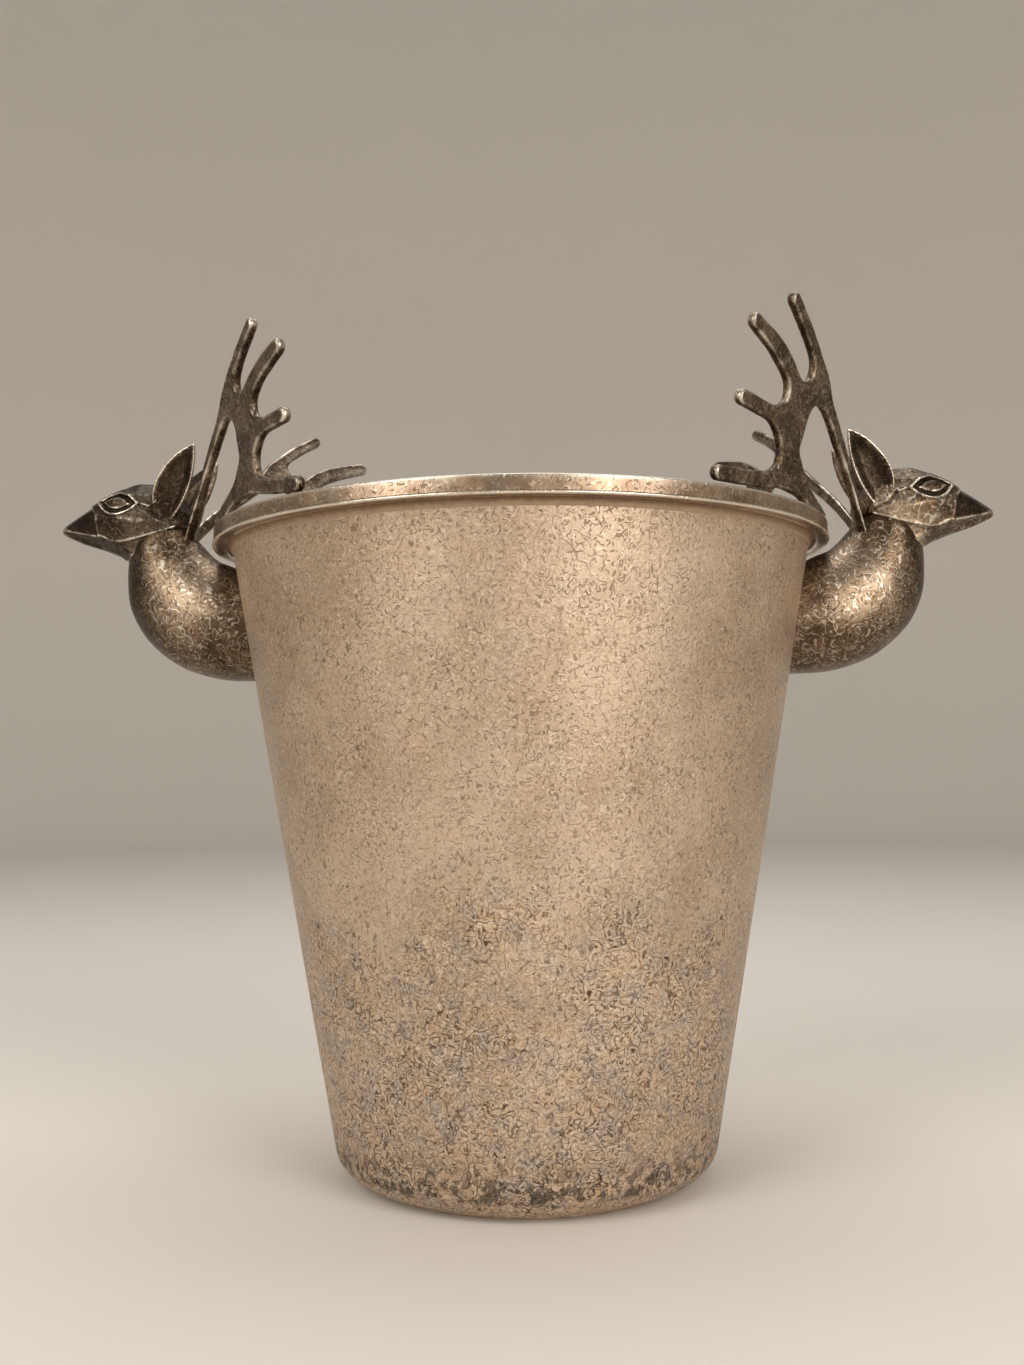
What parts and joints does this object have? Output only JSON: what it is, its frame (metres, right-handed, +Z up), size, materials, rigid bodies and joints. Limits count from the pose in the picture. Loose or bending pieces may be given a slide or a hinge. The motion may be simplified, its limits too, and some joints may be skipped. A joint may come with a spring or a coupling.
{
  "type": "champagne bucket",
  "caption": "Tapered metal champagne bucket with a flat rim and a stag's head handle on each side, antlers standing on the rim.",
  "frame": {"origin": "centre of the underside, on the surface the bucket stands on", "axes": "+Z up, +X towards the right-hand stag's head, +Y away from the front"},
  "size_m": [0.34, 0.22, 0.2919],
  "materials": {
    "shell": "satin nickel-coloured cast finish, pitted and aged",
    "rim": "smoother nickel-coloured band with worn bright edges",
    "solder": "dull solder line",
    "neck": "darkened polished metal, scratched",
    "head": "darkened polished metal with dark hollows",
    "ear": "darkened polished metal with bright edges",
    "antler": "darkened polished metal with bright edges",
    "plate": "brushed",
    "screw": "plated",
    "washer": "matt",
    "dowel": "ground"
  },
  "bodies": {
    "root": {"bucket_shell": "shell", "base_plate": "shell", "rim_ring": "rim", "rim_bead": "solder", "right_neck": "neck", "left_neck": "neck", "right_head": "head", "left_head": "head", "right_front_ear": "ear", "right_back_ear": "ear", "left_front_ear": "ear", "left_back_ear": "ear", "right_front_antler": "antler", "right_back_antler": "antler", "left_front_antler": "antler", "left_back_antler": "antler", "right_backing_plate": "plate", "left_backing_plate": "plate", "handle_screws": "screw", "sealing_washers": "washer", "head_dowels": "dowel", "antler_root_pins": "dowel", "antler_foot_pins": "dowel"}
  },
  "joints": []
}
